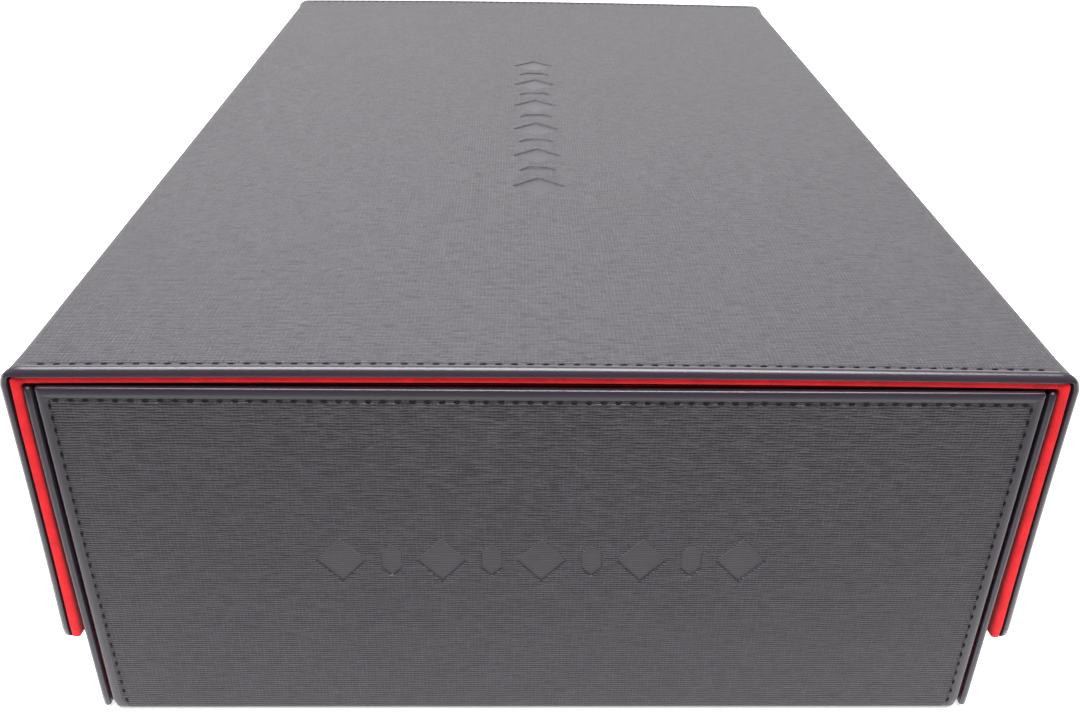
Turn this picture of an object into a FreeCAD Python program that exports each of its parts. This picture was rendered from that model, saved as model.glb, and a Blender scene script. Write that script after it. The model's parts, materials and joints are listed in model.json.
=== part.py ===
import FreeCAD, Part
import os

# Card deck box: a board box with a drop front, a lift-off lid with two hinged
# side flaps, and three trays of cards inside. X is the width, Y the depth with
# the front at -Y, Z is up, and the origin is on the floor under the middle.

# Overall sizes
DEPTH = 400.0
PANEL_WIDTH = 240.0
PANEL_HEIGHT = 107.0
FLAP_LENGTH = 85.0

# Sheets and boards
SKIN = 0.5
LINING = 0.5
LID_BOARD = 1.6
LID_LINER_BOARD = 1.6
WALL_BOARD = 1.5
WALL_LINER_BOARD = 1.0
BASE_BOARD = 2.0
PANEL_BOARD = 2.1

# Folds
CORNER_INNER_RADIUS = 0.8
PANEL_FOLD_RADIUS = 2.0

# Clearances
PANEL_SIDE_GAP = 0.8
PANEL_BACK_GAP = 0.2
PANEL_TOP_GAP = 0.5
FLAP_GAP = 0.3
WALL_TOP_GAP = 0.5
WALL_FOOT_GAP = 0.8
TRAY_GAP = 0.6
TRAY_FOOT_GAP = 0.1
DIVIDER_GAP = 0.4

# Trays and dividers
TRAY_COUNT = 3
TRAY_BOARD = 1.5
TRAY_TOP_GAP = 8.4
DIVIDER_THICKNESS = 1.0
DIVIDER_TOP_GAP = 1.9
DIVIDER_CORNER = 8.0
DIVIDERS_PER_TRAY = 2

# Magnets, steel and thread
MAGNET_RADIUS = 6.0
MAGNET_COUNT = 3
MAGNET_PITCH = 130.0
MAGNET_FROM_EDGE = 14.0
POCKET_GAP = 0.2
BAR_MAGNET_WIDTH = 6.0
BAR_MAGNET_HEIGHT = 24.0
BAR_MAGNET_INSET = 2.0
CATCH_STRIP_DEPTH = 10.0
CATCH_STRIP_HEIGHT = 60.0
CATCH_STRIP_DROP = 6.0
SEAM_WIDTH = 0.7
SEAM_DEPTH = 0.3
LID_SEAM_INSET = 3.0
PANEL_SEAM_SIDE = 2.8
PANEL_SEAM_TOP = 3.4

# Debossed ornaments
ORNAMENT_DEPTH = 0.25
# Width of a bar as a share of the pitch, and its height as a share of the row's height
ORNAMENT_BAR_WIDTH = 0.4
ORNAMENT_BAR_HEIGHT = 0.75
PANEL_ORNAMENT_LENGTH = 117.0
PANEL_ORNAMENT_HEIGHT = 14.0
PANEL_ORNAMENT_Z = 55.0
PANEL_ORNAMENT_COUNT = 9
LID_ORNAMENT_LENGTH = 163.0
LID_ORNAMENT_WIDTH = 17.0
LID_ORNAMENT_Y = -5.5
LID_ORNAMENT_COUNT = 11

# Derived places
front = -DEPTH / 2
rear = DEPTH / 2
wall = SKIN + WALL_BOARD
wall_liner = WALL_LINER_BOARD + LINING
wall_in = PANEL_WIDTH / 2 + PANEL_SIDE_GAP
wall_out = wall_in + wall
liner_in = wall_in - wall_liner
lid_shell = SKIN + LID_BOARD
lid_inner = LINING + LID_LINER_BOARD
flap_in = wall_out + FLAP_GAP
flap_mid = flap_in + lid_inner
flap_out = flap_mid + lid_shell
lid_under = PANEL_HEIGHT + PANEL_TOP_GAP
lid_mid = lid_under + lid_inner
lid_top = lid_mid + lid_shell
flap_foot = lid_top - FLAP_LENGTH
fold_x = flap_in - CORNER_INNER_RADIUS
fold_z = lid_under - CORNER_INNER_RADIUS
wall_top = lid_under - WALL_TOP_GAP
floor_top = SKIN + BASE_BOARD + LINING
panel = SKIN + PANEL_BOARD + LINING
panel_back = front + panel
base_front = panel_back + PANEL_BACK_GAP
back_in = rear - wall
back_liner_in = back_in - wall_liner

os.makedirs("parts", exist_ok=True)


def block(x0, x1, y0, y1, z0, z1):
    return Part.makeBox(x1 - x0, y1 - y0, z1 - z0, FreeCAD.Vector(x0, y0, z0))


def disc(x0, x1, y, z, radius):
    start = FreeCAD.Vector(x0, y, z)
    return Part.makeCylinder(radius, x1 - x0, start, FreeCAD.Vector(1, 0, 0))


def prism(points, travel):
    """A flat outline of XYZ points pushed along travel."""
    corners = [FreeCAD.Vector(*p) for p in points]
    face = Part.Face(Part.makePolygon(corners + corners[:1]))
    return face.extrude(FreeCAD.Vector(*travel))


def on_side(sign, shape):
    """A right-hand shape, or its mirror image on the left."""
    if sign > 0:
        return shape
    return shape.mirror(FreeCAD.Vector(0, 0, 0), FreeCAD.Vector(1, 0, 0))


def save(node, *shapes):
    solids = [s for shape in shapes for s in shape.Solids]
    whole = solids[0] if len(solids) == 1 else Part.makeCompound(solids)
    whole.exportStep("parts/" + node + ".step")


def corner_fold(outer, thickness):
    """A quarter turn of sheet along the right-hand corner of the lid."""
    start = FreeCAD.Vector(fold_x, front, fold_z)
    along = FreeCAD.Vector(0, 1, 0)
    ring = Part.makeCylinder(outer, DEPTH, start, along)
    ring = ring.cut(Part.makeCylinder(outer - thickness, DEPTH, start, along))
    return ring.common(block(fold_x, flap_out, front, rear, fold_z, lid_top))


def diamond(u, half_u, half_v):
    return [(u - half_u, 0), (u, -half_v), (u + half_u, 0), (u, half_v)]


def upright_bar(u, half_u, half_v):
    """A bar across the row of ornaments, pointed at both ends."""
    shoulder = half_v - half_u
    return [
        (u - half_u, -shoulder),
        (u, -half_v),
        (u + half_u, -shoulder),
        (u + half_u, shoulder),
        (u, half_v),
        (u - half_u, shoulder),
    ]


def ornament(length, height, count):
    """Outlines of a row of lozenges with an upright bar between each two."""
    pitch = length / count
    outlines = []
    for i in range(count):
        u = (i + 0.5) * pitch - length / 2
        if i % 2:
            outlines.append(upright_bar(u, ORNAMENT_BAR_WIDTH * pitch / 2, ORNAMENT_BAR_HEIGHT * height / 2))
        else:
            outlines.append(diamond(u, pitch / 2, height / 2))
    return outlines


# Base
save("base_board", block(-wall_in, wall_in, base_front, back_in, SKIN, SKIN + BASE_BOARD))
save("base_cover", block(-wall_in, wall_in, base_front, back_in, 0, SKIN))
floor = block(-wall_in, wall_in, base_front, back_in, SKIN + BASE_BOARD, floor_top)
save("floor_lining", floor)

# Rear wall, wrapped at its top and bottom edges
back = block(-wall_in, wall_in, back_in, rear, WALL_FOOT_GAP, wall_top)
back_board = block(
    -wall_in, wall_in, back_in, rear - SKIN, WALL_FOOT_GAP + SKIN, wall_top - SKIN
)
save("back_board", back_board)
save("back_cover", back.cut(back_board))
back_liner = block(
    -liner_in, liner_in, back_liner_in + LINING, back_in, floor_top, wall_top - LINING
)
back_lining = block(-liner_in, liner_in, back_liner_in, back_in, floor_top, wall_top)
save("back_liner_board", back_liner)
save("back_lining", back_lining.cut(back_liner))

# Side walls of the body and side flaps of the lid
disc_z = flap_foot + MAGNET_FROM_EDGE
disc_ys = [MAGNET_PITCH * (i - (MAGNET_COUNT - 1) / 2) for i in range(MAGNET_COUNT)]
catch_top = PANEL_HEIGHT - CATCH_STRIP_DROP
for side, sign in (("left", -1), ("right", 1)):
    pockets = [
        disc(wall_in, wall_out - SKIN, y, disc_z, MAGNET_RADIUS + POCKET_GAP)
        for y in disc_ys
    ]
    steels = [disc(wall_in, wall_out - SKIN, y, disc_z, MAGNET_RADIUS) for y in disc_ys]
    board = block(
        wall_in, wall_out - SKIN, front + SKIN, rear, WALL_FOOT_GAP + SKIN, wall_top - SKIN
    )
    cover = block(wall_in, wall_out, front, rear, WALL_FOOT_GAP, wall_top).cut(board)
    save(side + "_wall_board", on_side(sign, board.cut(Part.makeCompound(pockets))))
    save(side + "_wall_cover", on_side(sign, cover))
    save(side + "_wall_steel_discs", *[on_side(sign, s) for s in steels])

    strip = block(
        liner_in + LINING,
        wall_in,
        base_front + LINING,
        base_front + LINING + CATCH_STRIP_DEPTH,
        catch_top - CATCH_STRIP_HEIGHT,
        catch_top,
    )
    liner = block(
        liner_in + LINING,
        wall_in,
        base_front + LINING,
        back_in,
        floor_top,
        wall_top - LINING,
    )
    lining = block(liner_in, wall_in, base_front, back_in, floor_top, wall_top)
    save(side + "_liner_board", on_side(sign, liner.cut(strip)))
    save(side + "_wall_lining", on_side(sign, lining.cut(liner)))
    save(side + "_catch_strip", on_side(sign, strip))

    flap_board = block(
        flap_mid, flap_out - SKIN, front + SKIN, rear - SKIN, flap_foot + SKIN, fold_z
    )
    flap_cover = block(flap_mid, flap_out, front, rear, flap_foot, fold_z)
    save(side + "_flap_board", on_side(sign, flap_board))
    save(side + "_flap_cover", on_side(sign, flap_cover.cut(flap_board)))
    flap_liner = block(
        flap_in + LINING, flap_mid, front + LINING, rear - LINING, flap_foot + LINING, fold_z
    )
    flap_lining = block(flap_in, flap_mid, front, rear, flap_foot, fold_z)
    pockets = [
        disc(flap_in + LINING, flap_mid, y, disc_z, MAGNET_RADIUS + POCKET_GAP)
        for y in disc_ys
    ]
    magnets = [disc(flap_in + LINING, flap_mid, y, disc_z, MAGNET_RADIUS) for y in disc_ys]
    save(side + "_flap_liner_board", on_side(sign, flap_liner.cut(Part.makeCompound(pockets))))
    save(side + "_flap_lining", on_side(sign, flap_lining.cut(flap_liner)))
    save(side + "_flap_magnets", *[on_side(sign, m) for m in magnets])

    save("lid_fold_" + side, on_side(sign, corner_fold(flap_out - fold_x, SKIN)))
    lining_radius = CORNER_INNER_RADIUS + LINING
    save("lid_lining_fold_" + side, on_side(sign, corner_fold(lining_radius, LINING)))

# Lid top, wrapped at its front and rear edges
lid_board = block(-fold_x, fold_x, front + SKIN, rear - SKIN, lid_mid, lid_top - SKIN)
lid_cover = block(-fold_x, fold_x, front, rear, lid_mid, lid_top).cut(lid_board)
seam_y = front + LID_SEAM_INSET
lid_seams = [
    block(
        -fold_x,
        fold_x,
        sign * seam_y - SEAM_WIDTH / 2,
        sign * seam_y + SEAM_WIDTH / 2,
        lid_top - SEAM_DEPTH,
        lid_top,
    )
    for sign in (1, -1)
]
for outline in ornament(LID_ORNAMENT_LENGTH, LID_ORNAMENT_WIDTH, LID_ORNAMENT_COUNT):
    points = [(v, u + LID_ORNAMENT_Y, lid_top - ORNAMENT_DEPTH) for u, v in outline]
    lid_cover = lid_cover.cut(prism(points, (0, 0, ORNAMENT_DEPTH)))
save("lid_top_board", lid_board)
save("lid_top_cover", lid_cover.cut(Part.makeCompound(lid_seams)))
save("lid_stitching", *lid_seams)
lid_liner = block(-fold_x, fold_x, front + LINING, rear - LINING, lid_under + LINING, lid_mid)
lid_lining = block(-fold_x, fold_x, front, rear, lid_under, lid_mid)
save("lid_liner_board", lid_liner)
save("lid_lining", lid_lining.cut(lid_liner))

# Drop-front flap, wrapped at its top and side edges
half = PANEL_WIDTH / 2
panel_foot = PANEL_FOLD_RADIUS
panel_board = block(
    SKIN - half, half - SKIN, front + SKIN, panel_back - LINING, panel_foot, PANEL_HEIGHT - SKIN
)
panel_cover = block(-half, half, front, panel_back - LINING, panel_foot, PANEL_HEIGHT)
panel_cover = panel_cover.cut(panel_board)
seam_x = half - PANEL_SEAM_SIDE
seam_z = PANEL_HEIGHT - PANEL_SEAM_TOP
panel_seams = [
    block(
        -seam_x - SEAM_WIDTH / 2,
        seam_x + SEAM_WIDTH / 2,
        front,
        front + SEAM_DEPTH,
        seam_z - SEAM_WIDTH / 2,
        seam_z + SEAM_WIDTH / 2,
    )
]
for sign in (-1, 1):
    panel_seams.append(
        block(
            sign * seam_x - SEAM_WIDTH / 2,
            sign * seam_x + SEAM_WIDTH / 2,
            front,
            front + SEAM_DEPTH,
            panel_foot,
            seam_z - SEAM_WIDTH / 2,
        )
    )
for outline in ornament(PANEL_ORNAMENT_LENGTH, PANEL_ORNAMENT_HEIGHT, PANEL_ORNAMENT_COUNT):
    points = [(u, front, v + PANEL_ORNAMENT_Z) for u, v in outline]
    panel_cover = panel_cover.cut(prism(points, (0, ORNAMENT_DEPTH, 0)))
bar_out = half - SKIN - BAR_MAGNET_INSET
bar_top = PANEL_HEIGHT - SKIN - BAR_MAGNET_INSET
bars = [
    on_side(
        sign,
        block(
            bar_out - BAR_MAGNET_WIDTH,
            bar_out,
            front + SKIN,
            panel_back - LINING,
            bar_top - BAR_MAGNET_HEIGHT,
            bar_top,
        ),
    )
    for sign in (-1, 1)
]
save("front_flap_board", panel_board.cut(Part.makeCompound(bars)))
save("front_flap_cover", panel_cover.cut(Part.makeCompound(panel_seams)))
save("front_flap_stitching", *panel_seams)
save("front_flap_magnets", *bars)
panel_lining = block(-half, half, panel_back - LINING, panel_back, panel_foot, PANEL_HEIGHT)
save("front_flap_lining", panel_lining)

# Leatherette from the foot of the drop front round to the underside of the base
start = FreeCAD.Vector(-half, front + PANEL_FOLD_RADIUS, PANEL_FOLD_RADIUS)
across = FreeCAD.Vector(1, 0, 0)
roll = Part.makeCylinder(PANEL_FOLD_RADIUS, PANEL_WIDTH, start, across)
roll = roll.cut(Part.makeCylinder(PANEL_FOLD_RADIUS - SKIN, PANEL_WIDTH, start, across))
roll = roll.common(
    block(-half, half, front, front + PANEL_FOLD_RADIUS, 0, PANEL_FOLD_RADIUS)
)
tongue = block(-half, half, front + PANEL_FOLD_RADIUS, base_front, 0, SKIN)
save("front_hinge_fold", roll.fuse(tongue).removeSplitter())

# Trays and their dividers
tray_width = (2 * liner_in - (TRAY_COUNT + 1) * TRAY_GAP) / TRAY_COUNT
tray_front = base_front + TRAY_GAP
tray_rear = back_liner_in - TRAY_GAP
tray_foot = floor_top + TRAY_FOOT_GAP
tray_floor = tray_foot + TRAY_BOARD
tray_top = lid_under - TRAY_TOP_GAP
pad_top = tray_floor + LINING
lane_length = tray_rear - tray_front - 2 * TRAY_BOARD
for i, name in enumerate(("left", "middle", "right")):
    x0 = -liner_in + TRAY_GAP + i * (tray_width + TRAY_GAP)
    x1 = x0 + tray_width
    lane0 = x0 + TRAY_BOARD
    lane1 = x1 - TRAY_BOARD
    end0 = tray_front + TRAY_BOARD
    end1 = tray_rear - TRAY_BOARD
    boards = [
        block(x0, x1, tray_front, tray_rear, tray_foot, tray_floor),
        block(x0, lane0, tray_front, tray_rear, tray_floor, tray_top),
        block(lane1, x1, tray_front, tray_rear, tray_floor, tray_top),
        block(lane0, lane1, tray_front, end0, tray_floor, tray_top),
        block(lane0, lane1, end1, tray_rear, tray_floor, tray_top),
    ]
    save("tray_" + name + "_boards", *boards)
    save("tray_" + name + "_pad", block(lane0, lane1, end0, end1, tray_floor, pad_top))
    for k in range(DIVIDERS_PER_TRAY):
        y = end0 + lane_length * (k + 1) / (DIVIDERS_PER_TRAY + 1) - DIVIDER_THICKNESS / 2
        a = lane0 + DIVIDER_GAP
        b = lane1 - DIVIDER_GAP
        low = pad_top + TRAY_FOOT_GAP
        high = tray_top - DIVIDER_TOP_GAP
        outline = [
            (a, y, low),
            (b, y, low),
            (b, y, high - DIVIDER_CORNER),
            (b - DIVIDER_CORNER, y, high),
            (a + DIVIDER_CORNER, y, high),
            (a, y, high - DIVIDER_CORNER),
        ]
        plate = prism(outline, (0, DIVIDER_THICKNESS, 0))
        save("divider_" + name + "_" + str(k + 1), plate)
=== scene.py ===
"""Visual model of the card deck box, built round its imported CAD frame."""

import json
import math

import bmesh
import bpy
import numpy as np
from bpy.props import FloatProperty, FloatVectorProperty, PointerProperty
from mathutils import Matrix, Vector


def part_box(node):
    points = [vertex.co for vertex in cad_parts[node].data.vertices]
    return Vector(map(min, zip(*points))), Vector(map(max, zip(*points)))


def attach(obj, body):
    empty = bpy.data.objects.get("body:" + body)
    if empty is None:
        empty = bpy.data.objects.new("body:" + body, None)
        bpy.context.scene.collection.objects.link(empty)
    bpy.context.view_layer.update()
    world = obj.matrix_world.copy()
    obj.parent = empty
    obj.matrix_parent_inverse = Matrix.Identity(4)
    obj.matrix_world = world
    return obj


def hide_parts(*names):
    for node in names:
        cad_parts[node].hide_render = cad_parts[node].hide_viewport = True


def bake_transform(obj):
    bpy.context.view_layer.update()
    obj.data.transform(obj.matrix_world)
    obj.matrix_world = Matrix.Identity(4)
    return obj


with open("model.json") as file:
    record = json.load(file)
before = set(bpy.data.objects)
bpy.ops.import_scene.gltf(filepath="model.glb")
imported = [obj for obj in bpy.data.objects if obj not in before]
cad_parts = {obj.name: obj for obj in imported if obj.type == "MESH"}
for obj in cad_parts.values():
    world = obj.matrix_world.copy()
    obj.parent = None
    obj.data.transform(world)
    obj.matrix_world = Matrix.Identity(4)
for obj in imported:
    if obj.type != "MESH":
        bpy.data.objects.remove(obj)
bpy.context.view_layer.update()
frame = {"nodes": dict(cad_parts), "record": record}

bl_info = {
    "name": "Card deck box",
    "version": (1, 0, 0),
    "blender": (4, 5, 0),
    "location": "3D View > Sidebar > Deck Box",
    "description": "Builds the leatherette card deck box round its CAD frame",
    "category": "Object",
}

MM = 0.001

# Linen emboss of the leatherette: spacing in mm of the threads along and across the
# sheet. Its depth is a few times a real one's, so that the threads show.
WEFT_PITCH = 0.74
WARP_PITCH = 0.98
EMBOSS_DEPTH = 0.32 * MM

# Half the length of a stitch's pit in pitches, half its width in mm, and the distance
# in mm that stands for no seam.
PIT_HALF_LENGTH = 0.25
PIT_HALF_WIDTH = 0.38
FAR_FROM_SEAM = 50.0

# Width of the debossed bars as a share of their pitch, their height as a share of the
# row's, the width of the slope round a mark, and how far a mark is ironed smooth.
MARK_BAR_WIDTH = 0.4
MARK_BAR_HEIGHT = 0.75
MARK_SLOPE = 0.25 * MM
MARK_IRONED = 0.75
MARK_RIM = 1 * MM

# Angles, in degrees, of the mesh rows round a turned edge, the least gap of two rows,
# and the step of the rows over a seam's channel and over each ornament.
EDGE_ANGLES = (0, 20, 40, 60, 78, 90)
CLOSEST_ROWS = 0.02 * MM
SEAM_STEP = 0.34 * MM
LID_MARK_STEP = 0.42 * MM
PANEL_MARK_STEP = 0.24 * MM
# The most of a sheet's thickness that its back edge may round off.
BACK_SHARE = 0.45
# Gap between the lining's board and the one above it.
LINING_GAP = 0.1 * MM
# Half the width of the channel along a seam, and the padded roll outside it.
CHANNEL_WIDTH = 0.6 * MM
ROLL_HEIGHT = 0.22 * MM
ROLL_PLACE = 1.6 * MM
ROLL_WIDTH = 0.8 * MM


def srgb(code):
    """The three sRGB parts, between 0 and 1, of a hex code such as "c81428"."""
    return tuple(int(code[i : i + 2], 16) / 255 for i in (0, 2, 4))


def side(node, corner, axis):
    """One face of a CAD node's box: corner 0 is the low side, 1 the high side."""
    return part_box(node)[corner]["xyz".index(axis)]


# Faces of the frame that the pieces are fitted to, in metres.
FRONT = side("lid_top_cover", 0, "y")
REAR = side("lid_top_cover", 1, "y")
LID_TOP = side("lid_top_cover", 1, "z")
LID_MID = side("lid_lining", 1, "z")
LID_UNDER = side("lid_lining", 0, "z")
FOLD_X = side("lid_top_cover", 1, "x")
FOLD_Z = side("lid_fold_right", 0, "z")
FLAP_OUT = side("right_flap_cover", 1, "x")
FLAP_IN = side("right_flap_lining", 0, "x")
FLAP_FOOT = side("right_flap_cover", 0, "z")
WALL_OUT = side("right_wall_cover", 1, "x")
WALL_IN = side("right_wall_cover", 0, "x")
WALL_TOP = side("right_wall_cover", 1, "z")
WALL_FOOT = side("right_wall_cover", 0, "z")
LINER_IN = side("right_wall_lining", 0, "x")
LINER_FRONT = side("right_wall_lining", 0, "y")
LINER_REAR = side("back_lining", 0, "y")
BACK_IN = side("back_cover", 0, "y")
FLOOR_TOP = side("floor_lining", 1, "z")
PANEL_HALF = side("front_flap_cover", 1, "x")
PANEL_TOP = side("front_flap_cover", 1, "z")
PANEL_FOOT = side("front_flap_cover", 0, "z")
PANEL_BACK = side("front_flap_lining", 1, "y")
PANEL_MID = side("front_flap_lining", 0, "y")
BASE_FRONT = side("base_cover", 0, "y")


# ---------------------------------------------------------------- sizes


class DeckBoxSizes(bpy.types.PropertyGroup):
    panel_edge_radius: FloatProperty(
        name="Front edge",
        description="Radius of the padded roll round the drop front",
        default=0.8 * MM,
        unit="LENGTH",
    )
    lid_edge_radius: FloatProperty(
        name="Lid edge",
        description="Radius of the padded roll along the lid's front and rear edges",
        default=1.8 * MM,
        unit="LENGTH",
    )
    lining_radius: FloatProperty(
        name="Lining edge",
        description="Radius of the lining where it turns round the liner board's edge",
        default=0.95 * MM,
        unit="LENGTH",
    )
    margin: FloatProperty(
        name="Smooth margin",
        description="Width beside each stitched edge that is pressed smooth",
        default=2.6 * MM,
        unit="LENGTH",
    )
    panel_pitch: FloatProperty(
        name="Front stitch pitch",
        description="Distance between stitches on the drop front",
        default=3.5 * MM,
        unit="LENGTH",
    )
    lid_pitch: FloatProperty(
        name="Lid stitch pitch",
        description="Distance between stitches on the lid",
        default=3.7 * MM,
        unit="LENGTH",
    )
    thread_width: FloatProperty(
        name="Thread",
        description="Thickness of the sewing thread",
        default=0.55 * MM,
        unit="LENGTH",
    )
    press_depth: FloatProperty(
        name="Debossing",
        description="Depth of the pressed ornaments",
        default=0.35 * MM,
        unit="LENGTH",
    )
    lid_bow: FloatProperty(
        name="Lid bow",
        description="How far the lid's front edge arches up in the middle",
        default=0.8 * MM,
        unit="LENGTH",
    )
    flap_flare: FloatProperty(
        name="Flap flare",
        description="How far the lid flaps stand out at their lower edges",
        default=1.0 * MM,
        unit="LENGTH",
    )


class DeckBoxColours(bpy.types.PropertyGroup):
    # The valleys' colour and the threads' colour differ partly as painted shade and painted
    # highlight on the emboss.
    leather_dark: FloatVectorProperty(
        name="Leatherette valleys", description="Colour between the embossed threads",
        subtype="COLOR_GAMMA", size=3, default=srgb("09070a"), min=0, max=1,
    )
    leather_light: FloatVectorProperty(
        name="Leatherette threads", description="Colour of the raised embossed threads",
        subtype="COLOR_GAMMA", size=3, default=srgb("3e3742"), min=0, max=1,
    )
    lining: FloatVectorProperty(
        name="Microfibre", description="Colour of the red lining",
        subtype="COLOR_GAMMA", size=3, default=srgb("f2212a"), min=0, max=1,
    )


# ---------------------------------------------------------------- materials


def hex_linear(code):
    """A linear RGBA colour from an sRGB hex code."""
    return linear(srgb(code))


def linear(parts):
    """A linear RGBA colour from sRGB parts between 0 and 1."""
    turned = [c / 12.92 if c <= 0.04045 else ((c + 0.055) / 1.055) ** 2.4 for c in parts]
    return (*turned, 1.0)


def add_node(tree, kind, settings=None, **links):
    """Adds a shader node. Settings are attributes, or input values under "in:NAME".
    A link is given under its input's name, with _ for a space, or its number, as in i0."""
    node = tree.nodes.new(kind)
    for key, value in (settings or {}).items():
        if key.startswith("in:"):
            name = key[3:]
            node.inputs[int(name) if name.isdigit() else name].default_value = value
        else:
            setattr(node, key, value)
    for key, socket in links.items():
        numbered = key[0] == "i" and key[1:].isdigit()
        tree.links.new(socket, node.inputs[int(key[1:]) if numbered else key.replace("_", " ")])
    return node


def new_material(name, **settings):
    """A material with an emptied tree, its Principled shader and its output."""
    material = bpy.data.materials.new(name)
    material.use_nodes = True
    tree = material.node_tree
    tree.nodes.clear()
    values = {"in:" + k.replace("_", " "): v for k, v in settings.items()}
    shader = add_node(tree, "ShaderNodeBsdfPrincipled", values)
    add_node(tree, "ShaderNodeOutputMaterial", Surface=shader.outputs[0])
    return material, tree, shader


def ramp(tree, fac, low, high, start=0.0, end=1.0):
    """Blends two values or colours over a stretch of fac, and returns the socket."""
    flat = isinstance(low, (int, float))
    node = add_node(
        tree,
        "ShaderNodeMapRange",
        {
            "in:From Min": start,
            "in:From Max": end,
            "in:To Min": low if flat else 0.0,
            "in:To Max": high if flat else 1.0,
        },
        Value=fac,
    )
    if flat:
        return node.outputs["Result"]
    mix = add_node(tree, "ShaderNodeMix", {"data_type": "RGBA", "in:6": low, "in:7": high})
    tree.links.new(node.outputs["Result"], mix.inputs[0])
    return mix.outputs[2]


def maths(tree, operation, a, b, c=None):
    """One Math node over sockets or numbers, and returns its socket."""
    node = add_node(tree, "ShaderNodeMath", {"operation": operation})
    for i, value in enumerate((a, b, c)):
        if value is None:
            continue
        if isinstance(value, (int, float)):
            node.inputs[i].default_value = value
        else:
            tree.links.new(value, node.inputs[i])
    return node.outputs[0]


def stretched_noise(tree, place, per_mm, detail=2.0, roughness=0.55):
    """Noise whose marks are 1 / per_mm long along each way of the sheet, in mm."""
    scaled = add_node(
        tree, "ShaderNodeVectorMath", {"operation": "MULTIPLY", "in:1": (*per_mm, 1.0)}, i0=place
    )
    noise = add_node(
        tree,
        "ShaderNodeTexNoise",
        {"in:Scale": 1.0, "in:Detail": detail, "in:Roughness": roughness},
        Vector=scaled.outputs[0],
    )
    return noise.outputs["Fac"]


def thread_lines(tree, place, way, pitch, waver):
    """Evenly spaced lines, pitch mm apart along X or Y, that waver by a few degrees."""
    wave = add_node(
        tree,
        "ShaderNodeTexWave",
        {
            "bands_direction": way,
            "in:Scale": math.pi / 10 / pitch,
            "in:Distortion": waver,
            "in:Detail": 2.0,
            "in:Detail Scale": 0.4,
        },
        Vector=place,
    )
    return wave.outputs["Fac"]


def stitch_pits(tree):
    """1 in the pit round each stitch, fading to 0 over its rim."""
    place = add_node(tree, "ShaderNodeUVMap", {"uv_map": "Seam"}).outputs[0]
    parts = add_node(tree, "ShaderNodeSeparateXYZ", Vector=place)
    along = maths(tree, "DIVIDE", maths(tree, "PINGPONG", parts.outputs["X"], 0.5), PIT_HALF_LENGTH)
    across = maths(tree, "DIVIDE", parts.outputs["Y"], PIT_HALF_WIDTH)
    reach = maths(tree, "MULTIPLY_ADD", along, along, maths(tree, "MULTIPLY", across, across))
    return ramp(tree, reach, 1.0, 0.0, 0.45, 1.4)


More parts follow.
